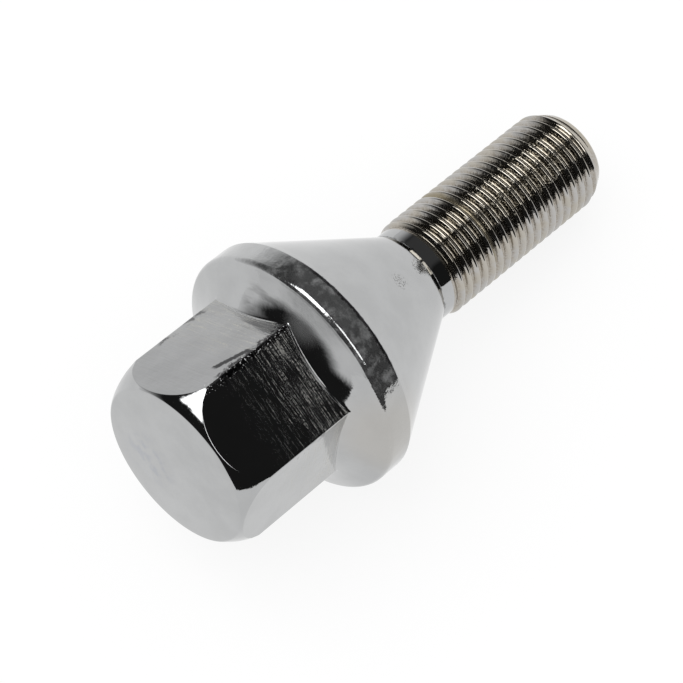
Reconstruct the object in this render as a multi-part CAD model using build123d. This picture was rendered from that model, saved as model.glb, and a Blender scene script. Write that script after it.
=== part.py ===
from build123d import *
import math
import os

# A chrome-plated steel lug bolt, forged and turned in one piece, at its real size in millimetres.
# Along its own axis it is, in order: a domed hexagon head, a wide flange with a coned front,
# a tapered seat of 60 degrees, a plain neck and a threaded shank with a chamfered tip.

# Hexagon head
across_flats = 19.0
head_height = 17.1
dome_height = 0.4
end_radius = 9.3
end_edge_radius = 0.4
shoulder_length = 3.6
shoulder_crown = 0.3
corner_radius = 0.25
head_root_radius = 0.3

# Flange, whose rim lies between the head and the seat
flange_radius = 14.35
rim_length = 2.9
front_angle = 27.5
front_edge_radius = 0.8
back_edge_radius = 0.3

# Tapered seat, which centres the bolt in the wheel's hole
seat_angle = 60.0

# Neck
neck_radius = 5.6
neck_length = 2.5

# Threaded shank, M12 x 1.25
thread_radius = 6.0
thread_length = 24.0
thread_start_angle = 45.0
tip_radius = 5.0
tip_chamfer_length = 1.85

# Angle round the axis from the lowest corner of the hexagon to where the turned faces start and end
seam_turn = 20.1

# Places along the axis, measured from the top of the dome
rim_z = head_height
seat_z = rim_z + rim_length
neck_z = seat_z + (flange_radius - neck_radius) / math.tan(math.radians(seat_angle / 2))
thread_z = neck_z + neck_length
tip_z = thread_z + thread_length
tip_chamfer_z = tip_z - tip_chamfer_length
corner_reach = across_flats / math.sqrt(3)
dome_radius = (end_radius**2 + dome_height**2) / (2 * dome_height)


def rounded(profile, corners):
    """The profile with the corner nearest each point rounded to that point's radius."""
    for point, radius in corners:
        corner = profile.vertices().sort_by_distance(point)[0]
        profile = fillet(corner, radius)
    return profile


def turned(profile):
    """The solid that a half profile, radius across and length up, makes round the axis."""
    return revolve(Plane.XZ * profile, Axis.Z)


def head():
    """The hexagon, its end domed and its corners cut back by a crowned shoulder."""
    hexagon = extrude(RegularPolygon(corner_reach, 6), rim_z)
    hexagon = fillet(hexagon.edges().filter_by(Axis.Z), corner_radius)
    dome_sweep = math.degrees(math.asin(end_radius / dome_radius))
    dome = CenterArc((0, dome_radius), dome_radius, -90, dome_sweep)
    top = dome @ 0
    end_edge = dome @ 1
    corner_start = (corner_reach, dome_height + shoulder_length)
    shoulder = SagittaArc(end_edge, corner_start, -shoulder_crown)
    core = Polyline(corner_start, (corner_reach, rim_z), (0, rim_z), top)
    profile = make_face([dome, shoulder, core])
    return hexagon & turned(rounded(profile, [(end_edge, end_edge_radius)]))


def body():
    """Everything behind the hexagon: flange, seat, neck and shank, turned as one profile."""
    front_z = rim_z - flange_radius * math.tan(math.radians(front_angle))
    start_length = (thread_radius - neck_radius) / math.tan(math.radians(thread_start_angle))
    front_edge = (flange_radius, rim_z)
    back_edge = (flange_radius, seat_z)
    outline = Polyline(
        (0, front_z),
        front_edge,
        back_edge,
        (neck_radius, neck_z),
        (neck_radius, thread_z),
        (thread_radius, thread_z + start_length),
        (thread_radius, tip_chamfer_z),
        (tip_radius, tip_z),
        (0, tip_z),
        close=True,
    )
    corners = [(front_edge, front_edge_radius), (back_edge, back_edge_radius)]
    return Rotation(0, 0, seam_turn) * turned(rounded(make_face(outline), corners))


def bolt():
    """The head fused with the body, with a small root radius where the flats meet the flange."""
    hexagon = head()
    rest = body()
    whole = hexagon + rest
    roots = new_edges(hexagon, rest, combined=whole)
    return fillet(roots, head_root_radius)


def rest_tilt():
    """How far the axis dips towards the tip when the bolt lies on its rim and its tip."""
    bend = math.radians(seat_angle / 2)
    edge_radius = flange_radius - back_edge_radius
    edge_z = seat_z - back_edge_radius * math.tan(bend / 2)
    drop = edge_radius - thread_radius
    span = tip_chamfer_z - edge_z
    reach = math.hypot(drop, span)
    return math.degrees(math.atan2(drop, span) + math.asin(back_edge_radius / reach))


def laid_down(shape):
    """The shape lying with its tip towards +X, a corner of the hexagon down, centred over the origin."""
    lying = Rotation(0, 90 + rest_tilt(), 0) * shape
    box = lying.bounding_box()
    return Pos(-box.center().X, -box.center().Y, -box.min.Z) * lying


os.makedirs("parts", exist_ok=True)
export_step(laid_down(bolt()), "parts/lug_bolt.step")
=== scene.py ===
"""Looks of a chrome-plated lug bolt that lies on a pale table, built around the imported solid."""

import logging
import math
from dataclasses import dataclass, field
from enum import Enum

import bmesh
import bpy
from mathutils import Matrix, Vector


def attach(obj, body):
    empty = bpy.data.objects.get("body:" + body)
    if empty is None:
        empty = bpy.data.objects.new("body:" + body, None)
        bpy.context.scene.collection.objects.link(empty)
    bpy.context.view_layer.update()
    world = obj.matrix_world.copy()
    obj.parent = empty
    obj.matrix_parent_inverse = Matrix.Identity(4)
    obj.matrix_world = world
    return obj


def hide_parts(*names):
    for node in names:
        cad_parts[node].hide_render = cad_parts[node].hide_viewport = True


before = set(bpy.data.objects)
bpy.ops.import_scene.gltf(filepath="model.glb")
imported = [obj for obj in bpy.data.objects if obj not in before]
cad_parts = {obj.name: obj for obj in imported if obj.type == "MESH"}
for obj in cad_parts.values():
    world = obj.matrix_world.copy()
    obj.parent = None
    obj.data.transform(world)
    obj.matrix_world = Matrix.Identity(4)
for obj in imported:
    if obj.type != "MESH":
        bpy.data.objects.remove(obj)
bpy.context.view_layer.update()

LOG = logging.getLogger("lug_bolt")
NODE = "lug_bolt"
MM = 0.001
SECTOR = math.radians(60)
WHITE = (1.0, 1.0, 1.0)

# A point of a profile, and a pair of numbers that a step or a drawn-out noise takes
Point = tuple[float, float]
Pair = tuple[float, float]
# A place, a colour, and a window as its lower edge, its upper edge and how soft they are
Place = tuple[float, float, float]
Colour = tuple[float, float, float]
Band = tuple[float, float, float]


@dataclass(frozen=True)
class BoltSizes:
    """Sizes of the bolt in millimetres; places along the axis count from the top of the dome."""

    across_flats: float = 19.0
    head_height: float = 17.1
    dome_height: float = 0.4
    end_radius: float = 9.3
    end_edge_radius: float = 0.4
    shoulder_length: float = 3.6
    shoulder_crown: float = 0.3
    shoulder_edge_radius: float = 0.2
    corner_radius: float = 0.25
    head_root_radius: float = 0.3
    flange_radius: float = 14.35
    rim_length: float = 2.9
    front_angle: float = math.radians(27.5)
    front_edge_radius: float = 0.8
    back_edge_radius: float = 0.3
    seat_half_angle: float = math.radians(30)
    neck_radius: float = 5.6
    neck_length: float = 2.5
    neck_root_radius: float = 0.3
    thread_radius: float = 6.0
    thread_length: float = 24.0
    tip_radius: float = 5.0
    tip_chamfer_length: float = 1.85

    @property
    def seat_z(self) -> float:
        """Where the seat's cone starts, at the back of the rim."""
        return self.head_height + self.rim_length

    @property
    def neck_z(self) -> float:
        """Where the seat's cone meets the neck."""
        depth = self.flange_radius - self.neck_radius
        return self.seat_z + depth / math.tan(self.seat_half_angle)

    @property
    def thread_z(self) -> float:
        """Where the thread starts, behind the neck."""
        return self.neck_z + self.neck_length

    @property
    def tip_z(self) -> float:
        """The flat end of the shank."""
        return self.thread_z + self.thread_length

    @property
    def chamfer_z(self) -> float:
        """Where the tip's chamfer starts."""
        return self.tip_z - self.tip_chamfer_length

    @property
    def dome_radius(self) -> float:
        """Radius of the sphere that the dome is part of."""
        return (self.end_radius**2 + self.dome_height**2) / (2 * self.dome_height)

    def front_z(self, radius: "Value") -> "Value":
        """Where the flange's front cone lies along the axis, at a distance from it."""
        return self.head_height - (self.flange_radius - radius) * math.tan(self.front_angle)

    def rest_tilt(self) -> float:
        """How far the axis dips towards the tip when the bolt lies on its rim and its tip.

        Returns:
            The angle in radians.
        """
        rounding = self.back_edge_radius
        edge_radius = self.flange_radius - rounding
        edge_z = self.seat_z - rounding * math.tan(self.seat_half_angle / 2)
        drop = edge_radius - self.thread_radius
        span = self.chamfer_z - edge_z
        return math.atan2(drop, span) + math.asin(rounding / math.hypot(drop, span))


@dataclass(frozen=True)
class ThreadForm:
    """The M12 x 1.25 thread in millimetres, rolled and then rounded off by its plating.

    The phase is the part of a pitch by which it is shifted along the axis, and the arc angles are the
    directions, in degrees, in which each rounding has its points.
    """

    pitch: float = 1.25
    major_radius: float = 6.0
    flank_angle: float = math.radians(30)
    root_rounding: float = 0.26
    crest_rounding: float = 0.2
    crest_half_flat: float = 0.12
    early_start: float = 0.7
    run_in: float = 0.9
    phase: float = 0.24
    arc_angles: tuple[int, ...] = (0, 15, 30, 45, 60)
    least_gap: float = 1e-6

    def tooth(self) -> list[Point]:
        """One pitch of the profile from one root's middle to just before the next.

        Returns:
            Pairs of distance along the axis and radius.
        """
        half = self.pitch / 2
        slope = math.tan(self.flank_angle)
        turns = [math.radians(angle) for angle in self.arc_angles]
        low, high = self.root_rounding, self.crest_rounding
        apex = self.major_radius - (half - self.crest_half_flat) / slope
        root_centre = apex + low / math.sin(self.flank_angle)
        root = [(low * math.sin(turn), root_centre - low * math.cos(turn)) for turn in turns]
        crest_centre = self.major_radius - high
        crest_along = (crest_centre - apex) * slope + high / math.cos(self.flank_angle)
        crest = [
            (crest_along - high * math.sin(turn), crest_centre + high * math.cos(turn))
            for turn in reversed(turns)
        ]
        rising = [*root, *crest]
        falling = [(self.pitch - along, radius) for along, radius in reversed(rising[1:])]
        return rising + [point for point in falling if point[0] > crest_along + self.least_gap]


@dataclass(frozen=True)
class Outline:
    """The half profile of everything ahead of the thread, and how many parts each stretch is cut in."""

    sizes: BoltSizes = field(default_factory=BoltSizes)
    knee: float = 0.75
    dome_steps: int = 14
    end_edge_steps: int = 6
    shoulder_steps: int = 12
    shoulder_edge_steps: int = 4
    flat_steps: int = 7
    head_root_steps: int = 5
    front_steps: int = 14
    front_edge_steps: int = 8
    rim_steps: int = 4
    back_edge_steps: int = 4
    seat_steps: int = 18
    neck_root_steps: int = 4
    neck_steps: int = 4

    @staticmethod
    def arc(centre: Point, radius: float, start: float, end: float, steps: int) -> list[Point]:
        """Points along a circle.

        Args:
            centre: The circle's middle.
            radius: Its radius.
            start: The angle of the first point.
            end: The angle of the last point.
            steps: How many parts the arc is cut in.

        Returns:
            The points, both ends among them.
        """
        angles = [start + (end - start) * step / steps for step in range(steps + 1)]
        return [(centre[0] + radius * math.cos(a), centre[1] + radius * math.sin(a)) for a in angles]

    @staticmethod
    def run(start: Point, end: Point, steps: int) -> list[Point]:
        """Points strictly between two ends of a straight run.

        Args:
            start: One end.
            end: The other end.
            steps: How many parts the run is cut in.

        Returns:
            The points between the ends.
        """
        shares = [step / steps for step in range(1, steps)]
        return [(start[0] + (end[0] - start[0]) * s, start[1] + (end[1] - start[1]) * s) for s in shares]

    def hexagon_radius(self, angle: float) -> float:
        """How far the hexagon's side is from the axis.

        Args:
            angle: The direction round the axis, from a corner.

        Returns:
            The distance in millimetres, with the corners rounded.
        """
        half = self.sizes.across_flats / 2
        rounding = self.sizes.corner_radius
        turn = abs(angle % SECTOR - SECTOR / 2)
        if turn <= self.flat_half_angle():
            return half / math.cos(turn)
        reach = (half - rounding) / math.cos(SECTOR / 2)
        off = SECTOR / 2 - turn
        return reach * math.cos(off) + math.sqrt(rounding**2 - (reach * math.sin(off)) ** 2)

    def flat_half_angle(self) -> float:
        """The angle that half a flat spans, seen from the axis."""
        half = self.sizes.across_flats / 2
        return math.atan((half - self.sizes.corner_radius) * math.tan(SECTOR / 2) / half)

    def gathered(self, angle: float) -> float:
        """Moves a column's angle, so that the columns beyond the knee gather at the rounded corners.

        Args:
            angle: The column's even angle.

        Returns:
            Its angle where the hexagon needs it.
        """
        middle = (math.floor(angle / SECTOR) + 0.5) * SECTOR
        turn = angle - middle
        share = abs(turn) / (SECTOR / 2)
        flat = self.flat_half_angle()
        if share <= self.knee:
            moved = flat * share / self.knee
        else:
            moved = flat + (SECTOR / 2 - flat) * (share - self.knee) / (1 - self.knee)
        return middle + math.copysign(moved, turn)

    def shoulder_circle(self) -> tuple[Point, float]:
        """The circle that the crowned shoulder follows.

        Returns:
            Its centre and its radius.
        """
        s = self.sizes
        start = Vector((s.end_radius, s.dome_height))
        end = Vector((s.across_flats / math.sqrt(3), s.dome_height + s.shoulder_length))
        chord = end - start
        radius = (chord.length_squared / 4 + s.shoulder_crown**2) / (2 * s.shoulder_crown)
        outward = Vector((chord.y, -chord.x)).normalized()
        centre = (start + end) / 2 - outward * (radius - s.shoulder_crown)
        return (centre.x, centre.y), radius

    def end_rows(self) -> tuple[list[Point], float]:
        """The dome and the rounded edge round it.

        Returns:
            The points from the axis outwards, and the shoulder circle's angle where they end.
        """
        s = self.sizes
        dome = Vector((0.0, s.dome_radius))
        centre, radius = self.shoulder_circle()
        shoulder = Vector(centre)
        reach_dome = s.dome_radius - s.end_edge_radius
        reach_shoulder = radius - s.end_edge_radius
        link = shoulder - dome
        along = (reach_dome**2 - reach_shoulder**2 + link.length_squared) / (2 * link.length)
        across = math.sqrt(reach_dome**2 - along**2)
        unit = link.normalized()
        # The circle of the edge's rounding touches both others from inside, on the side away from the axis.
        edge = dome + unit * along + Vector((-unit.y, unit.x)) * across
        from_dome, from_shoulder = edge - dome, edge - shoulder
        dome_angle = math.atan2(from_dome.y, from_dome.x)
        shoulder_angle = math.atan2(from_shoulder.y, from_shoulder.x)
        rows = self.arc((0.0, s.dome_radius), s.dome_radius, -math.pi / 2, dome_angle, self.dome_steps)
        ends = (dome_angle, shoulder_angle)
        rounding = self.arc((edge.x, edge.y), s.end_edge_radius, *ends, self.end_edge_steps)
        return rows + rounding[1:], shoulder_angle

    def head_rows(self, side: float) -> list[Point]:
        """Dome, shoulder and flat down to the flange's front, in one direction.

        Args:
            side: The hexagon's distance from the axis in that direction.

        Returns:
            The points, the last one on the front cone.
        """
        s = self.sizes
        rows, start = self.end_rows()
        centre, radius = self.shoulder_circle()
        inset = side - s.shoulder_edge_radius - centre[0]
        inner = radius - s.shoulder_edge_radius
        edge = (inset + centre[0], centre[1] - math.sqrt(inner**2 - inset**2))
        end = math.atan2(edge[1] - centre[1], inset)
        rows += self.arc(centre, radius, start, end, self.shoulder_steps)[1:]
        rows += self.arc(edge, s.shoulder_edge_radius, end, 0.0, self.shoulder_edge_steps)[1:]
        root = s.head_root_radius
        root_z = s.front_z(side + root) - root / math.cos(s.front_angle)
        rows += self.run((side, edge[1]), (side, root_z), self.flat_steps)
        ends = (math.pi, math.pi / 2 + s.front_angle)
        rows += self.arc((side + root, root_z), root, *ends, self.head_root_steps)
        return rows

    def flange_rows(self, start: Point) -> list[Point]:
        """The flange's front cone and its rounded edge.

        Args:
            start: The last point of the head.

        Returns:
            The points after it, the last one where the edge's rounding meets the rim.
        """
        s = self.sizes
        rounding = s.front_edge_radius
        middle = s.flange_radius - rounding
        centre_z = s.front_z(middle) + rounding / math.cos(s.front_angle)
        ends = (s.front_angle - math.pi / 2, 0.0)
        edge = self.arc((middle, centre_z), rounding, *ends, self.front_edge_steps)
        return self.run(start, edge[0], self.front_steps) + edge

    def back_rows(self, join_z: float) -> list[Point]:
        """Rim, seat and neck.

        Args:
            join_z: Where the neck meets the threaded shank's surface.

        Returns:
            The points, the last one at the join.
        """
        s = self.sizes
        bend = s.seat_half_angle
        rim = s.back_edge_radius
        root = s.neck_root_radius
        rim_centre = (s.flange_radius - rim, s.seat_z - rim * math.tan(bend / 2))
        depth = s.flange_radius - s.neck_radius - root
        root_centre = (s.neck_radius + root, s.seat_z + (root + depth * math.cos(bend)) / math.sin(bend))
        edge = self.arc(rim_centre, rim, 0.0, bend, self.back_edge_steps)
        foot = self.arc(root_centre, root, math.pi + bend, math.pi, self.neck_root_steps)
        front_z = s.front_z(s.flange_radius - s.front_edge_radius)
        front_end = (s.flange_radius, front_z + s.front_edge_radius / math.cos(s.front_angle))
        neck_end = (s.neck_radius, join_z)
        return [
            *self.run(front_end, edge[0], self.rim_steps), *edge,
            *self.run(edge[-1], foot[0], self.seat_steps), *foot,
            *self.run(foot[-1], neck_end, self.neck_steps), neck_end,
        ]


@dataclass
class LugBolt:
    """The whole bolt as one closed skin: head, flange, seat, neck and threaded shank."""

    sizes: BoltSizes = field(default_factory=BoltSizes)
    thread: ThreadForm = field(default_factory=ThreadForm)
    columns: int = 144
    spare_turns: int = 3
    neck_overlap: float = 0.2
    # Vertices closer than this are merged. A full turn of spinning drifts by less, so the seam closes.
    weld: float = 1e-3
    outline: Outline = field(init=False)
    join_z: float = field(init=False)
    place: Matrix = field(init=False)

    def __post_init__(self) -> None:
        """Keeps the outline and the place where neck and thread join."""
        self.outline = Outline(self.sizes)
        self.join_z = self.sizes.thread_z - self.thread.early_start - self.neck_overlap

    def spin(self, mesh: bmesh.types.BMesh, chain: list[Point], climb: float = 0.0) -> None:
        """Turns a chain of points once round the axis.

        Args:
            mesh: The mesh to add to.
            chain: Pairs of radius and place along the axis.
            climb: How far the chain moves along the axis in the full turn.
        """
        first = [mesh.verts.new((radius, 0.0, along)) for radius, along in chain]
        edges = [mesh.edges.new(pair) for pair in zip(first, first[1:])]
        bmesh.ops.spin(
            mesh,
            geom=[*first, *edges],
            cent=(0, 0, 0),
            axis=(0, 0, 1),
            dvec=(0, 0, climb / self.columns),
            angle=math.tau,
            steps=self.columns,
            use_merge=climb == 0.0,
            use_duplicate=False,
        )

    def body_mesh(self) -> bmesh.types.BMesh:
        """Head, flange, seat and neck, open where the thread joins.

        Returns:
            The mesh in the bolt's own axes, in millimetres.
        """
        head = self.outline.head_rows(self.outline.hexagon_radius(0.0))
        flange = self.outline.flange_rows(head[-1])
        back = self.outline.back_rows(self.join_z)
        count = len(head) + len(flange) + len(back)
        # A flat disc with one ring for each row is spun first. Each of its vertices then moves to its
        # row's point in its column's own profile, since a hexagon's profile isn't the same all round.
        mesh = bmesh.new()
        self.spin(mesh, [(row + 1.0, 0.0) for row in range(count)])
        step = math.tau / self.columns
        shaped: dict[int, list[Point]] = {}
        for vert in mesh.verts:
            row = round(vert.co.length) - 1
            column = round(math.atan2(vert.co.y, vert.co.x) / step) % self.columns
            even = column * step
            gathered = self.outline.gathered(even)
            if column not in shaped:
                start = self.outline.head_rows(self.outline.hexagon_radius(gathered))
                shaped[column] = start + self.outline.flange_rows(start[-1]) + back
            fade = min(max((row - len(head)) / len(flange), 0.0), 1.0)
            angle = gathered + (even - gathered) * fade
            radius, along = shaped[column][row]
            vert.co = (radius * math.cos(angle), radius * math.sin(angle), along)
        bmesh.ops.remove_doubles(mesh, verts=mesh.verts, dist=self.weld)
        return mesh

    def thread_mesh(self) -> bmesh.types.BMesh:
        """The threaded shank from the neck to its flat end.

        Returns:
            The mesh in the bolt's own axes, in millimetres.
        """
        form, s = self.thread, self.sizes
        tooth = form.tooth()
        turns = math.ceil(s.thread_length / form.pitch) + self.spare_turns
        start = self.join_z - (1 + form.phase) * form.pitch
        chain = [
            (radius, start + turn * form.pitch + along) for turn in range(turns) for along, radius in tooth
        ]
        mesh = bmesh.new()
        self.spin(mesh, chain, climb=form.pitch)
        bmesh.ops.remove_doubles(mesh, verts=mesh.verts, dist=self.weld)
        for vert in mesh.verts:
            vert.co = self.trimmed(vert.co)
        bmesh.ops.remove_doubles(mesh, verts=mesh.verts, dist=self.weld)
        bmesh.ops.dissolve_degenerate(mesh, edges=mesh.edges, dist=self.weld)
        rim = [edge for edge in mesh.edges if edge.is_boundary and edge.verts[0].co.z > s.chamfer_z]
        bmesh.ops.contextual_create(mesh, geom=rim)
        return mesh

    def trimmed(self, place: Vector) -> Vector:
        """Fades the thread out at the neck and cuts it by the tip's chamfer.

        Args:
            place: A point of the endless thread.

        Returns:
            Where that point lies on the real shank.
        """
        form, s = self.thread, self.sizes
        radius = math.hypot(place.x, place.y)
        along = min(max(place.z, self.join_z), s.tip_z)
        share = min(max((along - self.join_z - self.neck_overlap / 2) / form.run_in, 0.0), 1.0)
        fade = share * share * (3 - 2 * share)
        shaped = s.neck_radius + (radius - s.neck_radius) * fade
        slope = (s.thread_radius - s.tip_radius) / s.tip_chamfer_length
        shaped = min(shaped, s.thread_radius - (along - s.chamfer_z) * slope)
        return Vector((place.x * shaped / radius, place.y * shaped / radius, along))

    def build(self) -> bpy.types.Object:
        """Joins the two skins, lays the bolt down and makes it an object.

        Returns:
            The bolt, in metres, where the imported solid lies.
        """
        mesh = self.body_mesh()
        shank = bpy.data.meshes.new("shank")
        thread = self.thread_mesh()
        thread.to_mesh(shank)
        thread.free()
        mesh.from_mesh(shank)
        bpy.data.meshes.remove(shank)
        bmesh.ops.remove_doubles(mesh, verts=mesh.verts, dist=self.weld)
        bmesh.ops.recalc_face_normals(mesh, faces=mesh.faces)
        self.place = self.lying(mesh)
        bmesh.ops.transform(mesh, matrix=self.place, verts=mesh.verts)
        open_edges = sum(not edge.is_manifold for edge in mesh.edges)
        data = bpy.data.meshes.new("lug_bolt_skin")
        mesh.to_mesh(data)
        mesh.free()
        data.shade_smooth()
        bolt = bpy.data.objects.new(data.name, data)
        bpy.context.scene.collection.objects.link(bolt)
        # The large faces rule the shading, so that a flat looks flat up to its rounded edges.
        even = bolt.modifiers.new("even_shading", "WEIGHTED_NORMAL")
        even.mode = "FACE_AREA"
        even.keep_sharp = True
        LOG.info("skin: %d faces, %d open edges", len(data.polygons), open_edges)
        return bolt

    def lying(self, mesh: bmesh.types.BMesh) -> Matrix:
        """The move from the bolt's own axes to where it lies.

        Args:
            mesh: The standing bolt, in millimetres.

        Returns:
            The matrix, which also turns millimetres into metres.
        """
        turned = Matrix.Scale(MM, 4) @ Matrix.Rotation(math.pi / 2 + self.sizes.rest_tilt(), 4, "Y")
        places = [turned @ vert.co for vert in mesh.verts]
        low = Vector(min(place[i] for place in places) for i in range(3))
        high = Vector(max(place[i] for place in places) for i in range(3))
        middle = (low + high) / 2
        return Matrix.Translation((-middle.x, -middle.y, -low.z)) @ turned


class Signal:
    """A socket that takes part in shader maths."""

    def __init__(self, graph: "Graph", socket: bpy.types.NodeSocket) -> None:
        """Keeps the socket and the graph that it belongs to."""
        self.graph = graph
        self.socket = socket

    def __add__(self, other: "Value") -> "Signal":
        """The sum."""
        return self.graph.math("ADD", self, other)

    def __radd__(self, other: "Value") -> "Signal":
        """The sum with the number first."""
        return self.graph.math("ADD", other, self)

    def __sub__(self, other: "Value") -> "Signal":
        """The difference."""
        return self.graph.math("SUBTRACT", self, other)

    def __rsub__(self, other: "Value") -> "Signal":
        """The difference with the number first."""
        return self.graph.math("SUBTRACT", other, self)

    def __mul__(self, other: "Value") -> "Signal":
        """The product."""
        return self.graph.math("MULTIPLY", self, other)

    def __rmul__(self, other: "Value") -> "Signal":
        """The product with the number first."""
        return self.graph.math("MULTIPLY", other, self)

    def __truediv__(self, other: "Value") -> "Signal":
        """The quotient."""
        return self.graph.math("DIVIDE", self, other)

    def __rtruediv__(self, other: "Value") -> "Signal":
        """The quotient with the number first."""
        return self.graph.math("DIVIDE", other, self)

    def __neg__(self) -> "Signal":
        """The negative."""
        return self.graph.math("MULTIPLY", self, -1.0)

    def __abs__(self) -> "Signal":
        """The size without the sign."""
        return self.graph.math("ABSOLUTE", self)


Value = Signal | float


class Graph:
    """A node tree that materials and the world are drawn in."""

    def __init__(self, tree: bpy.types.NodeTree) -> None:
        """Starts with an empty tree."""
        self.tree = tree
        tree.nodes.clear()

    def node(self, kind: str, settings: dict | None = None, sockets: dict | None = None) -> bpy.types.Node:
        """Adds one node.

        Args:
            kind: The node's type.
            settings: Its properties, set before its sockets.
            sockets: Values or links for its inputs, by name or number.

        Returns:
            The node.
        """
        made = self.tree.nodes.new(kind)
        for name, value in (settings or {}).items():
            setattr(made, name, value)
        for name, value in (sockets or {}).items():
            self.feed(made.inputs[name], value)
        return made

    def feed(self, socket: bpy.types.NodeSocket, value: object) -> None:
        """Links a signal or sets a plain value.

        Args:
            socket: The input.
            value: A signal, a socket, a number, a vector or a colour.
        """
        if isinstance(value, Signal):
            self.tree.links.new(value.socket, socket)
        elif isinstance(value, bpy.types.NodeSocket):
            self.tree.links.new(value, socket)
        elif socket.type == "RGBA" and len(value) == 3:
            socket.default_value = (*value, 1.0)
        else:
            socket.default_value = value

    def math(self, operation: str, *values: Value) -> Signal:
        """A Math node.

        Args:
            operation: What it works out.
            values: Its inputs in order.

        Returns:
            The result.
        """
        made = self.node("ShaderNodeMath", {"operation": operation}, dict(enumerate(values)))
        return Signal(self, made.outputs[0])

    def smooth(self, value: Value, low: float, high: float) -> Signal:
        """Goes softly from 0 at low to 1 at high.

        Args:
            value: What is read.
            low: Where the result is 0.
            high: Where the result is 1.

        Returns:
            The soft step.
        """
        flipped = low > high
        limits = {"From Min": min(low, high), "From Max": max(low, high), "Value": value}
        made = self.node("ShaderNodeMapRange", {"interpolation_type": "SMOOTHSTEP"}, limits)
        step = Signal(self, made.outputs[0])
        return 1.0 - step if flipped else step

    def between(self, value: Value, low: float, high: float, soft: float) -> Signal:
        """A soft window that is 1 from low to high.

        Args:
            value: What is read.
            low: The window's lower edge.
            high: The window's upper edge.
            soft: How wide each edge is.

        Returns:
            The window.
        """
        rise = self.smooth(value, low - soft / 2, low + soft / 2)
        fall = self.smooth(value, high + soft / 2, high - soft / 2)
        return rise * fall

    def blend(self, share: Value, first: object, second: object) -> Signal:
        """Mixes two colours.

        Args:
            share: How much of the second.
            first: The colour at 0.
            second: The colour at 1.

        Returns:
            The mixed colour.
        """
        made = self.node("ShaderNodeMix", {"data_type": "RGBA"}, {0: share, 6: first, 7: second})
        return Signal(self, made.outputs[2])

    def noise(self, place: Signal, scale: float, detail: float = 2.0, rough: float = 0.5) -> Signal:
        """Noise from 0 to 1.

        Args:
            place: The coordinates that it is read at.
            scale: Its scale.
            detail: Octaves.
            rough: How strong the fine octaves are.

        Returns:
            The noise.
        """
        made = self.node(
            "ShaderNodeTexNoise", {}, {"Vector": place, "Scale": scale, "Detail": detail, "Roughness": rough},
        )
        return Signal(self, made.outputs[0])

    def undone(self, place: Signal, location: object, rotation: object, scale: object) -> Signal:
        """Takes a move, a turn and a scale back, which leads into the axes that they place.

        Args:
            place: The coordinates.
            location: The move.
            rotation: The turn.
            scale: The scale.

        Returns:
            The coordinates in those axes.
        """
        made = self.node(
            "ShaderNodeMapping", {"vector_type": "TEXTURE"},
            {"Vector": place, "Location": location, "Rotation": rotation, "Scale": scale},
        )
        return Signal(self, made.outputs[0])

    def axes(self, place: Signal) -> tuple[Signal, Signal, Signal]:
        """Splits coordinates in three."""
        made = self.node("ShaderNodeSeparateXYZ", {}, {0: place})
        return tuple(Signal(self, socket) for socket in made.outputs)

    def vector(self, x: Value, y: Value, z: Value) -> Signal:
        """Joins three numbers to coordinates."""
        made = self.node("ShaderNodeCombineXYZ", {}, {0: x, 1: y, 2: z})
        return Signal(self, made.outputs[0])


class Zone(Enum):
    """The parts of the bolt that wear their plating differently."""

    HEAD = 0
    SHANK = 1


@dataclass(frozen=True)
class Spot:
    """A soft-edged ball in the bolt's own axes, in millimetres, that a mark lies in."""

    centre: Place
    reach: float
    soft: float


class Surface:
    """Where a shaded point lies in the bolt's own axes, in millimetres and degrees."""

    def __init__(self, graph: Graph, place: Matrix, pitch: float) -> None:
        """Reads the object's coordinates and works out the others.

        Args:
            graph: The material's graph.
            place: The move from the bolt's own axes to where it lies.
            pitch: How far the thread climbs in a turn.
        """
        self.graph = graph
        seen = graph.node("ShaderNodeTexCoord")
        self.local = graph.undone(
            Signal(graph, seen.outputs["Object"]), place.to_translation(), place.to_euler(), place.to_scale(),
        )
        self.x, self.y, self.z = graph.axes(self.local)
        self.radius = graph.math("SQRT", self.x * self.x + self.y * self.y)
        self.turn = graph.math("ARCTAN2", -self.y, -self.x) * math.degrees(1.0)
        self.helix = self.z - self.turn * (pitch / 360)

    def lines(self, along: Value, fine: float, wide: float, detail: float = 1.0) -> Signal:
        """Noise that is drawn out round the bolt.

        Args:
            along: The place along the axis or along the thread.
            fine: How fast it varies along the axis.
            wide: How fast it varies round the bolt.
            detail: Octaves.

        Returns:
            The noise, from 0 to 1.
        """
        graph = self.graph
        return graph.noise(graph.vector(self.x * wide, self.y * wide, along * fine), 1.0, detail)

    def near(self, spot: Spot) -> Signal:
        """1 in the middle of a spot, and 0 away from it.

        Args:
            spot: The spot.

        Returns:
            The soft ball.
        """
        gap = self.graph.node(
            "ShaderNodeVectorMath", {"operation": "DISTANCE"}, {0: self.local, 1: spot.centre},
        )
        return self.graph.smooth(Signal(self.graph, gap.outputs["Value"]), spot.reach + spot.soft, spot.reach)


@dataclass
class Layers:
    """A finish while it is drawn: its colour, its gloss and its relief in millimetres."""

    colour: Value
    roughness: Value
    metallic: Value
    relief: Value

    def tint(self, graph: Graph, share: Value, colour: Colour) -> None:
        """Lays one more colour on.

        Args:
            graph: The material's graph.
            share: How much of it shows.
            colour: The colour.
        """
        self.colour = graph.blend(share, self.colour, colour)


@dataclass(frozen=True)
class Shared:
    """What the marks on the head share: the sizes, where it is hexagon or rim, and two noises."""

    sizes: BoltSizes
    on_hexagon: Signal
    on_rim: Signal
    ragged: Signal
    fine: Signal


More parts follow.
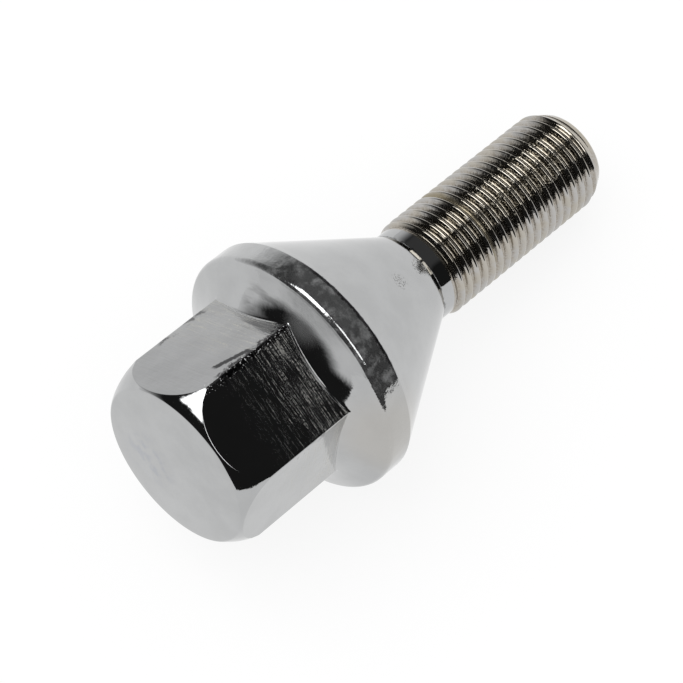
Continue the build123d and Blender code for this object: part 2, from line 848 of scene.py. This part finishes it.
@dataclass(frozen=True)
class FlatLines:
    """Fine worn lines across the flats, closer together towards the flange."""

    colour: Colour = (0.46, 0.45, 0.41)
    colour_share: float = 0.8
    weave: Pair = (13.0, 0.4)
    shown: Pair = (0.59, 0.76)
    broken: Pair = (0.36, 0.6)
    unbroken_share: float = 0.15
    starts: Pair = (4.3, 7.5)
    grows: Pair = (3.0, 15.0)
    denser: float = 0.12
    dull: float = 0.12
    duller: float = 0.36
    rougher: float = 0.05
    relief_weave: Pair = (4.0, 0.3)
    relief: float = 0.006

    def draw(self, at: Surface, shared: Shared, layers: Layers) -> None:
        """Draws the lines.

        Args:
            at: The shaded point.
            shared: What the marks on the head share.
            layers: What they are drawn on.
        """
        graph = at.graph
        growth = graph.smooth(at.z, *self.grows)
        drawn = at.lines(at.z, *self.weave, detail=2.0) + growth * self.denser
        whole = self.unbroken_share + (1.0 - self.unbroken_share) * graph.smooth(shared.fine, *self.broken)
        on_flat = shared.on_hexagon * graph.smooth(at.z, *self.starts)
        share = graph.smooth(drawn, *self.shown) * whole * on_flat
        layers.tint(graph, share * self.colour_share, self.colour)
        layers.metallic = layers.metallic - share * (self.dull + self.duller * growth)
        layers.roughness = layers.roughness + growth * shared.on_hexagon * self.rougher
        layers.relief = layers.relief + at.lines(at.z, *self.relief_weave) * shared.on_hexagon * self.relief


@dataclass(frozen=True)
class CornerWear:
    """Dark ragged wear along the hexagon's corners, bright specks in it, and a dark dash beside it."""

    colour: Colour = (0.03, 0.03, 0.032)
    colour_share: float = 0.9
    reaches: Pair = (10.58, 10.82)
    raggedness: float = 1.1
    patch_scale: float = 0.3
    patches: Pair = (0.48, 0.58)
    patch_share: float = 0.7
    top_corner: Pair = (12.0, 6.0)
    along: Band = (5.5, 16.2, 0.8)
    speck_colour: Colour = (0.6, 0.6, 0.6)
    specks: Pair = (0.6, 0.68)
    speck_dull: float = 0.6
    dash_start: Point = (1.57, 6.49)
    dash_slope: float = 0.278
    dash_raggedness: float = 0.35
    dash_width: Pair = (0.34, 0.2)
    dash_along: Band = (6.4, 10.4, 0.5)
    dash_side: Pair = (-8.0, -9.0)

    def draw(self, at: Surface, shared: Shared, layers: Layers) -> None:
        """Draws the wear.

        Args:
            at: The shaded point.
            shared: What the marks on the head share.
            layers: What it is drawn on.
        """
        graph = at.graph
        reach = at.radius + (shared.ragged - 0.5) * self.raggedness
        patchy = graph.smooth(graph.noise(at.local, self.patch_scale, detail=2.0), *self.patches)
        on_top = graph.smooth(abs(at.turn), *self.top_corner)
        chosen = graph.math("MAXIMUM", patchy * self.patch_share, on_top)
        worn = graph.smooth(reach, *self.reaches) * shared.on_hexagon * chosen
        dark = graph.math("MAXIMUM", worn * graph.between(at.z, *self.along), self.dash(at, shared))
        specks = graph.smooth(shared.fine, *self.specks) * worn
        layers.tint(graph, dark * self.colour_share, self.colour)
        layers.tint(graph, specks, self.speck_colour)
        layers.metallic = layers.metallic - specks * self.speck_dull

    def dash(self, at: Surface, shared: Shared) -> Signal:
        """One short dark stroke on the flat beside the top corner.

        Args:
            at: The shaded point.
            shared: What the marks on the head share.

        Returns:
            1 in the stroke, 0 beside it.
        """
        graph = at.graph
        start_y, start_z = self.dash_start
        line = start_y - (at.z - start_z) * self.dash_slope
        off = abs(at.y - line + (shared.fine - 0.5) * self.dash_raggedness)
        inside = graph.between(at.z, *self.dash_along) * graph.smooth(at.x, *self.dash_side)
        return graph.smooth(off, *self.dash_width) * inside


@dataclass(frozen=True)
class RimWearAndShade:
    """The rim's mottled plating, and painted shade as a torn dark line along its back edge on the upper side.

    The line's place along the axis counts from the start of the seat.
    """

    mottle_scale: float = 0.8
    mottled: Pair = (0.42, 0.72)
    mottle_rough: float = 0.08
    mottle_dull: float = 0.22
    dull: float = 0.06
    relief: float = 0.018
    # Painted shade: the torn dark line along the back edge, kept to the upper side where the rim lies dark
    edge_shade_colour: Colour = (0.03, 0.03, 0.032)
    edge_shade_share: float = 0.85
    edge_raggedness: float = 0.7
    edge_along: Band = (-0.3, 0.05, 0.2)
    edge_turns: Band = (-8.0, 46.0, 14.0)

    def draw(self, at: Surface, shared: Shared, layers: Layers) -> None:
        """Draws the wear.

        Args:
            at: The shaded point.
            shared: What the marks on the head share.
            layers: What it is drawn on.
        """
        graph = at.graph
        noise = graph.noise(at.local, self.mottle_scale, detail=4.0, rough=0.65)
        mottled = graph.smooth(noise, *self.mottled) * shared.on_rim
        layers.relief = layers.relief + shared.ragged * shared.on_rim * self.relief
        layers.metallic = layers.metallic - shared.on_rim * self.dull - mottled * self.mottle_dull
        layers.roughness = layers.roughness + mottled * self.mottle_rough
        # Painted shade along the back edge, on the upper side only, with a ragged edge
        along = at.z - shared.sizes.seat_z + (shared.ragged - 0.5) * self.edge_raggedness
        torn = graph.between(along, *self.edge_along) * graph.between(at.turn, *self.edge_turns)
        layers.tint(graph, torn * self.edge_shade_share, self.edge_shade_colour)


@dataclass(frozen=True)
class FrontWear:
    """The flange's front: its soft rise to the flats, brushed streaks, haze and a dull spot."""

    brushed_colour: Colour = (0.14, 0.14, 0.14)
    brushed_share: float = 0.5
    brushed_weave: Pair = (2.6, 0.22)
    brushed: Pair = (0.44, 0.62)
    brushed_spot: Spot = Spot((-10.2, 3.4, 15.1), 1.2, 2.6)
    haze_spot: Spot = Spot((-12.2, -1.6, 16.1), 0.8, 2.4)
    haze_dull: float = 0.16
    rough_spot: Spot = Spot((-11.6, -3.4, 15.8), 1.5, 2.5)
    rough: float = 0.05
    dish_radius: float = 12.6
    dish_rise: float = 0.055
    dish_ends: Pair = (17.5, 16.9)

    def draw(self, at: Surface, shared: Shared, layers: Layers) -> None:
        """Draws the flange's front.

        Args:
            at: The shaded point.
            shared: What the marks on the head share.
            layers: What it is drawn on.
        """
        graph = at.graph
        off_hexagon = 1.0 - shared.on_hexagon
        haze = at.near(self.haze_spot) * off_hexagon * (1.0 - shared.on_rim)
        layers.metallic = layers.metallic - haze * self.haze_dull
        streaks = graph.smooth(at.lines(at.z, *self.brushed_weave, detail=3.0), *self.brushed)
        layers.tint(graph, streaks * at.near(self.brushed_spot) * self.brushed_share, self.brushed_colour)
        layers.roughness = layers.roughness + at.near(self.rough_spot) * self.rough
        dish = graph.math("MAXIMUM", self.dish_radius - at.radius, 0.0)
        on_front = off_hexagon * graph.smooth(at.z, *self.dish_ends)
        layers.relief = layers.relief + dish * dish * on_front * self.dish_rise


@dataclass(frozen=True)
class HeadMarks:
    """Pits on the seat, a painted bluish reflection on the domed end, a warm tint and a dark line of painted
    shade at the neck's foot.

    The line's place along the axis counts from where the seat meets the neck.
    """

    front_pits: Spot = Spot((-8.45, -3.0, 29.35), 0.5, 0.9)
    back_pits: Spot = Spot((-6.1, -2.1, 33.7), 0.4, 0.9)
    pitted: Pair = (0.52, 0.6)
    pit_colour: Colour = (0.06, 0.06, 0.06)
    pit_share: float = 0.4
    pit_depth: float = 0.004
    # Painted reflection: bluish clouds on the domed end, as its curve mirrors darker surroundings
    dome_reflection_spot: Spot = Spot((2.0, 3.2, 0.1), 1.5, 3.0)
    dome_reflection_scale: float = 0.7
    dome_reflection_steps: Pair = (0.45, 0.6)
    dome_reflection_colour: Colour = (0.33, 0.345, 0.39)
    dome_reflection_share: float = 0.45
    warm_spot: Spot = Spot((-3.3, -13.8, 17.1), 2.5, 5.0)
    warm_colour: Colour = (0.44, 0.42, 0.385)
    warm_share: float = 0.5
    # The dark line at the neck's foot is painted shade in the crease where the seat meets the neck
    foot_raggedness: float = 0.9
    foot_along: Band = (-0.25, 0.1, 0.25)
    foot_scale: float = 0.9
    foot_torn: Pair = (0.44, 0.56)
    foot_shade_colour: Colour = (0.02, 0.02, 0.02)
    foot_shade_share: float = 0.85

    def draw(self, at: Surface, shared: Shared, layers: Layers) -> None:
        """Draws the marks.

        Args:
            at: The shaded point.
            shared: What the marks on the head share.
            layers: What they are drawn on.
        """
        graph = at.graph
        # Painted reflection: bluish clouds laid on the domed end
        clouds = graph.smooth(graph.noise(at.local, self.dome_reflection_scale, detail=3.0), *self.dome_reflection_steps)
        layers.tint(graph, at.near(self.dome_reflection_spot) * clouds * self.dome_reflection_share, self.dome_reflection_colour)
        layers.tint(graph, at.near(self.warm_spot) * self.warm_share, self.warm_colour)
        pits = graph.smooth(shared.fine, *self.pitted) * (at.near(self.front_pits) + at.near(self.back_pits))
        layers.tint(graph, pits * self.pit_share, self.pit_colour)
        layers.relief = layers.relief - pits * self.pit_depth
        # Painted shade: a ragged dark line in the crease at the neck's foot
        along = at.z - shared.sizes.neck_z + (shared.ragged - 0.5) * self.foot_raggedness
        foot = graph.between(along, *self.foot_along)
        torn = graph.smooth(graph.noise(at.local, self.foot_scale, detail=3.0), *self.foot_torn)
        layers.tint(graph, foot * torn * self.foot_shade_share, self.foot_shade_colour)


@dataclass(frozen=True)
class HeadFinish:
    """Bright chrome ahead of the thread: hexagon, flange, seat and neck.

    The hexagon starts that far ahead of the flange's front, and the rim that far from its own radius.
    """

    colour: Colour = (0.455, 0.46, 0.463)
    darker: float = 0.92
    roughness: float = 0.045
    cloud_scale: float = 0.25
    clouds: Pair = (0.3, 0.7)
    hazy_clouds: Pair = (0.5, 0.8)
    cloud_rough: float = 0.04
    swell: float = 0.03
    ragged_scale: float = 1.5
    uneven_end: float = 0.001
    uneven_side: float = 0.005
    side: Band = (1.4, 20.0, 0.8)
    fine_scale: float = 4.5
    hexagon_starts: Pair = (0.05, 0.3)
    rim_starts: Pair = (-0.5, -0.2)

    def layers(self, at: Surface, sizes: BoltSizes) -> Layers:
        """Draws the finish.

        Args:
            at: The shaded point.
            sizes: The bolt's sizes.

        Returns:
            Its layers.
        """
        graph = at.graph
        cloud = graph.noise(at.local, self.cloud_scale, detail=4.0, rough=0.6)
        swell = graph.noise(at.local, self.cloud_scale, detail=1.0)
        ragged = graph.noise(at.local, self.ragged_scale, detail=3.0, rough=0.6)
        fine = graph.noise(at.local, self.fine_scale, detail=2.0)
        dark = tuple(part * self.darker for part in self.colour)
        uneven = self.uneven_end + graph.between(at.z, *self.side) * self.uneven_side
        layers = Layers(
            colour=graph.blend(graph.smooth(cloud, *self.clouds), dark, self.colour),
            roughness=self.roughness + graph.smooth(cloud, *self.hazy_clouds) * self.cloud_rough,
            metallic=1.0,
            relief=swell * self.swell + ragged * uneven,
        )
        on_hexagon = graph.smooth(sizes.front_z(at.radius) - at.z, *self.hexagon_starts)
        on_rim = graph.smooth(at.radius - sizes.flange_radius, *self.rim_starts)
        shared = Shared(sizes, on_hexagon, on_rim, ragged, fine)
        for marks in (FlatLines(), CornerWear(), RimWearAndShade(), FrontWear(), HeadMarks()):
            marks.draw(at, shared, layers)
        return layers


@dataclass(frozen=True)
class ShankFinish:
    """The thread's plating: bright crests, grooves browned by dirt and painted shade, a rough patch with
    painted glints and a stained ring.

    Depths are distances from the axis, and the face's ends are distances from the flat tip.
    """

    light: Colour = (0.455, 0.445, 0.43)
    warm: Colour = (0.45, 0.425, 0.38)
    worn: Colour = (0.47, 0.425, 0.34)
    # The grooves' brown is partly dirt and partly painted shade, and grows with depth
    groove_dirt_and_shade: Colour = (0.31, 0.275, 0.23)
    stain: Colour = (0.27, 0.23, 0.15)
    # The cream specks are painted glints in the rough patch
    glint_speck: Colour = (0.75, 0.7, 0.57)
    roughness: float = 0.04
    depths: Pair = (5.93, 5.5)
    face_ends: Pair = (0.05, 0.2)
    groove_dirt_and_shade_share: Pair = (0.35, 0.5)
    groove_rough: float = 0.08
    groove_dull: float = 0.01
    fine_scale: float = 3.4
    fine_steps: Pair = (0.4, 0.6)
    wide_scale: float = 0.45
    wide_steps: Pair = (0.4, 0.6)
    grain_scale: float = 3.1
    worn_turns: Band = (-18.0, 40.0, 20.0)
    worn_share: float = 0.5
    rough_starts: Pair = (42.0, 47.0)
    rough_ends: Pair = (60.0, 56.0)
    rough_sway: float = 8.0
    specks: Pair = (0.64, 0.68)
    glint_speck_share: float = 0.8
    speck_dull: float = 0.35
    ring_along: Band = (43.25, 43.65, 0.4)
    ring_sway: float = 0.6
    ring_share: float = 0.85
    ring_rough: float = 0.1
    ring_dull: float = 0.22
    strand_weave: Pair = (4.2, 0.12)
    strand_relief: float = 0.02
    fine_relief: float = 0.006
    groove_relief: float = 0.012
    grain_relief: float = 0.03
    wide_relief: float = 0.02

    def layers(self, at: Surface, tip_z: float) -> Layers:
        """Draws the finish.

        Args:
            at: The shaded point.
            tip_z: The shank's flat end.

        Returns:
            Its layers.
        """
        graph = at.graph
        fine = graph.noise(at.local, self.fine_scale, detail=2.0, rough=0.6)
        grain = graph.noise(at.local, self.grain_scale, detail=1.0)
        wide = graph.noise(at.local, self.wide_scale, detail=3.0)
        face, side = (tip_z - depth for depth in self.face_ends)
        deep = graph.smooth(at.radius, *self.depths) * graph.smooth(at.z, face, side)
        worn_side = graph.between(at.turn, *self.worn_turns)
        past_ring = graph.smooth(at.z + (wide - 0.5) * self.rough_sway, *self.rough_starts)
        rough_part = past_ring * graph.smooth(at.z, *self.rough_ends) * worn_side
        # Where the painted glints lie: grains in the rough patch
        specks = graph.smooth(grain, *self.specks) * rough_part
        ring = graph.between(at.z + (wide - 0.5) * self.ring_sway, *self.ring_along)
        least, more = self.groove_dirt_and_shade_share
        layers = Layers(
            colour=graph.blend(graph.smooth(wide, *self.wide_steps), self.light, self.warm),
            roughness=self.roughness + deep * self.groove_rough + ring * self.ring_rough,
            metallic=1.0 - deep * self.groove_dull - ring * self.ring_dull - specks * self.speck_dull,
            relief=at.lines(at.helix, *self.strand_weave, detail=2.0) * self.strand_relief
            + fine * (self.fine_relief + deep * self.groove_relief)
            + grain * rough_part * self.grain_relief
            + wide * self.wide_relief,
        )
        # Dirt and painted shade: the grooves turn brown and darker with depth
        layers.tint(graph, deep * (least + more * graph.smooth(fine, *self.fine_steps)), self.groove_dirt_and_shade)
        layers.tint(graph, worn_side * self.worn_share, self.worn)
        layers.tint(graph, ring * self.ring_share, self.stain)
        # Painted glints: bright cream specks in the rough patch
        layers.tint(graph, specks * self.glint_speck_share, self.glint_speck)
        return layers


@dataclass(frozen=True)
class Chrome:
    """The bolt's plating, drawn in the bolt's own axes."""

    sizes: BoltSizes
    thread: ThreadForm
    place: Matrix

    def coat(self, skin: bpy.types.Object, join_z: float) -> None:
        """Gives every face the finish of its zone.

        Args:
            skin: The bolt, where it lies.
            join_z: Where the head's zone ends and the shank's starts.
        """
        for zone in Zone:
            skin.data.materials.append(self.material(zone))
        standing = self.place.inverted()
        for face in skin.data.polygons:
            on_shank = (standing @ face.center).z > join_z
            face.material_index = (Zone.SHANK if on_shank else Zone.HEAD).value

    def material(self, zone: Zone) -> bpy.types.Material:
        """Draws the finish of one zone.

        Args:
            zone: The part of the bolt.

        Returns:
            The material.
        """
        made = bpy.data.materials.new(f"chrome_{zone.name.lower()}")
        made.use_nodes = True
        graph = Graph(made.node_tree)
        at = Surface(graph, self.place, self.thread.pitch)
        if zone is Zone.HEAD:
            layers = HeadFinish().layers(at, self.sizes)
        else:
            layers = ShankFinish().layers(at, self.sizes.tip_z)
        relief = graph.node(
            "ShaderNodeBump", {}, {"Strength": 1.0, "Distance": MM, "Height": layers.relief},
        )
        shader = graph.node(
            "ShaderNodeBsdfPrincipled", {},
            {"Base Color": layers.colour, "Metallic": layers.metallic, "Roughness": layers.roughness,
             "Normal": relief.outputs[0]},
        )
        graph.node("ShaderNodeOutputMaterial", {}, {"Surface": shader.outputs[0]})
        return made


@dataclass(frozen=True)
class Patch:
    """A soft-edged area of the studio's canopy, in degrees.

    Its edges count from the direction at the azimuth and height, with the whole patch rolled round
    that direction and its middle shifted sideways.
    """

    azimuth: float
    height: float
    half_width: float
    low: float
    high: float
    radiance: float
    soft_across: float
    soft_up: float
    roll: float = 0.0
    shift: float = 0.0

    def turn(self) -> tuple[float, float, float]:
        """The rotation that brings the patch's middle to the front, in radians."""
        return math.radians(self.roll), math.radians(-self.height), math.radians(self.azimuth)

    def window(self, graph: Graph, place: Signal, distance: float) -> Signal:
        """Where the patch is lit.

        Args:
            graph: The material's graph.
            place: The place on the canopy.
            distance: The canopy's radius.

        Returns:
            1 in the patch, 0 beside it.
        """
        x, y, z = graph.axes(graph.undone(place, (0, 0, 0), self.turn(), (1, 1, 1)))
        across = graph.math("ARCTAN2", y, x) * math.degrees(1.0)
        up = graph.math("ARCSINE", z / distance) * math.degrees(1.0)
        left, right = self.shift - self.half_width, self.shift + self.half_width
        beside = graph.between(across, left, right, self.soft_across)
        return beside * graph.between(up, self.low, self.high, self.soft_up)


@dataclass(frozen=True)
class Studio:
    """Table, dark canopy with its lit patches, lamp and world."""

    table_size: float = 6.0
    table_colour: Colour = (0.9, 0.9, 0.9)
    table_glow: float = 0.85
    lamp_size: float = 0.6
    lamp_energy: float = 1.5
    lamp_place: Place = (-0.15, 0.2, 0.7)
    canopy_radius: float = 0.45
    canopy_lift: float = 0.001
    canopy_segments: int = 48
    canopy_rings: int = 24
    darkness: float = 0.016
    patches: tuple[Patch, ...] = (
        # The pale surroundings low down on the +Y side, fading upwards
        Patch(
            azimuth=97.0, height=0.0, half_width=40.0, low=-30.0, high=14.0,
            radiance=0.95, soft_across=10.0, soft_up=38.0,
        ),
        # Their end towards the tip, a little dimmer
        Patch(
            azimuth=50.0, height=0.0, half_width=14.0, low=-30.0, high=17.0,
            radiance=0.8, soft_across=12.0, soft_up=26.0,
        ),
        # Their end towards the dome, with a sharper upper edge
        Patch(
            azimuth=162.0, height=0.0, half_width=34.0, low=-30.0, high=13.0,
            radiance=0.92, soft_across=8.0, soft_up=14.0,
        ),
        # The soft box overhead, which makes the bright line along the top
        Patch(
            azimuth=108.0, height=76.5, half_width=19.0, low=-14.0, high=17.5,
            radiance=3.3, soft_across=4.0, soft_up=4.0, roll=-30.0, shift=4.0,
        ),
        # A second box, high on the -Y side
        Patch(
            azimuth=-99.0, height=51.0, half_width=9.0, low=-8.0, high=25.0,
            radiance=2.6, soft_across=4.0, soft_up=4.0,
        ),
        # A faint glow beyond the tip
        Patch(
            azimuth=6.0, height=0.0, half_width=42.0, low=4.0, high=64.0,
            radiance=0.065, soft_across=14.0, soft_up=12.0,
        ),
    )

    @staticmethod
    def piece(name: str, mesh: bmesh.types.BMesh, material: bpy.types.Material) -> bpy.types.Object:
        """Makes a mesh an object of the scene.

        Args:
            name: The object's name.
            mesh: Its mesh, which is used up.
            material: Its only material.

        Returns:
            The object.
        """
        data = bpy.data.meshes.new(name)
        mesh.to_mesh(data)
        mesh.free()
        data.materials.append(material)
        made = bpy.data.objects.new(name, data)
        bpy.context.scene.collection.objects.link(made)
        return made

    def table(self) -> bpy.types.Object:
        """The plain pale table.

        Returns:
            The table.
        """
        mesh = bmesh.new()
        bmesh.ops.create_grid(mesh, x_segments=1, y_segments=1, size=self.table_size / 2)
        made = self.piece("table", mesh, self.table_material())
        return made

    def table_material(self) -> bpy.types.Material:
        """White paper that looks evenly lit to the camera and in the metal.

        Returns:
            The material.
        """
        made = bpy.data.materials.new("table_paper")
        made.use_nodes = True
        graph = Graph(made.node_tree)
        ray = graph.node("ShaderNodeLightPath")
        seen = graph.math(
            "MAXIMUM",
            Signal(graph, ray.outputs["Is Camera Ray"]),
            Signal(graph, ray.outputs["Is Glossy Ray"]),
        )
        plain = graph.node("ShaderNodeBsdfDiffuse", {}, {"Color": self.table_colour})
        white = graph.node("ShaderNodeEmission", {}, {"Color": WHITE, "Strength": 1.0})
        mixed = graph.node(
            "ShaderNodeMixShader", {}, {0: seen * self.table_glow, 1: plain.outputs[0], 2: white.outputs[0]},
        )
        graph.node("ShaderNodeOutputMaterial", {}, {"Surface": mixed.outputs[0]})
        return made

    def canopy(self) -> bpy.types.Object:
        """A dark half sphere that only the metal sees.

        Returns:
            The canopy.
        """
        mesh = bmesh.new()
        bmesh.ops.create_uvsphere(
            mesh, u_segments=self.canopy_segments, v_segments=self.canopy_rings, radius=self.canopy_radius,
        )
        bmesh.ops.bisect_plane(
            mesh, geom=[*mesh.verts, *mesh.edges, *mesh.faces], plane_co=(0, 0, self.canopy_lift),
            plane_no=(0, 0, -1), clear_outer=True,
        )
        made = self.piece("canopy", mesh, self.canopy_material())
        made.visible_camera = False
        made.visible_diffuse = False
        made.visible_shadow = False
        made.visible_transmission = False
        return made

    def canopy_material(self) -> bpy.types.Material:
        """Dark cloth with the lit patches.

        Returns:
            The material.
        """
        made = bpy.data.materials.new("canopy_cloth")
        made.use_nodes = True
        graph = Graph(made.node_tree)
        seen = graph.node("ShaderNodeTexCoord")
        place = Signal(graph, seen.outputs["Object"])
        glow: Value = self.darkness
        for patch in self.patches:
            window = patch.window(graph, place, self.canopy_radius)
            glow = graph.math("MAXIMUM", window * patch.radiance, glow)
        shine = graph.node("ShaderNodeEmission", {}, {"Strength": glow})
        graph.node("ShaderNodeOutputMaterial", {}, {"Surface": shine.outputs[0]})
        made.cycles.emission_sampling = "NONE"
        return made

    def lamp(self) -> bpy.types.Object:
        """One broad soft lamp above the table, which the metal doesn't show.

        Returns:
            The lamp.
        """
        data = bpy.data.lights.new("soft_lamp", "AREA")
        data.shape = "SQUARE"
        data.size = self.lamp_size
        data.energy = self.lamp_energy
        made = bpy.data.objects.new(data.name, data)
        made.location = self.lamp_place
        made.rotation_euler = made.location.to_track_quat("Z", "Y").to_euler()
        made.visible_glossy = False
        bpy.context.scene.collection.objects.link(made)
        return made

    def world(self) -> bpy.types.World:
        """Plain white surroundings.

        Returns:
            The world.
        """
        made = bpy.data.worlds.new("studio")
        made.use_nodes = True
        graph = Graph(made.node_tree)
        white = graph.node("ShaderNodeBackground", {}, {"Color": WHITE, "Strength": 1.0})
        graph.node("ShaderNodeOutputWorld", {}, {"Surface": white.outputs[0]})
        bpy.context.scene.world = made
        return made


@dataclass(frozen=True)
class PhotoCamera:
    """The photograph's viewpoint, in millimetres in the part's frame; its clipping is in metres."""

    location: Place = (-96.9798, -95.4410, 276.1310)
    right: Place = (0.6909094, -0.7226215, -0.0215049)
    up: Place = (0.6535584, 0.6116083, 0.4458662)
    lens: float = 147.584
    sensor: float = 36.0
    clip: Pair = (0.01, 20.0)

    def build(self) -> bpy.types.Object:
        """Makes it the scene's camera.

        Returns:
            The camera.
        """
        data = bpy.data.cameras.new("photo_camera")
        data.lens = self.lens
        data.sensor_width = self.sensor
        data.clip_start, data.clip_end = self.clip
        right, up = Vector(self.right).normalized(), Vector(self.up).normalized()
        back = right.cross(up)
        turn = Matrix((right, up, back)).transposed().to_4x4()
        camera = bpy.data.objects.new(data.name, data)
        camera.matrix_world = Matrix.Translation(Vector(self.location) * MM) @ turn
        bpy.context.scene.collection.objects.link(camera)
        bpy.context.scene.camera = camera
        return camera


def main() -> None:
    """Builds the bolt, its finish, the studio and the camera."""
    logging.basicConfig(level=logging.INFO, format="%(name)s: %(message)s")
    bpy.context.scene.view_settings.view_transform = "Standard"
    bolt = LugBolt()
    skin = bolt.build()
    Chrome(bolt.sizes, bolt.thread, bolt.place).coat(skin, bolt.join_z)
    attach(skin, "root")
    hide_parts(NODE)
    LOG.info("%s stands for %s", skin.name, NODE)
    studio = Studio()
    for made in (studio.table(), studio.canopy(), studio.lamp(), studio.world(), PhotoCamera().build()):
        LOG.info("%s is in place", made.name)


if __name__ == "__main__":
    main()
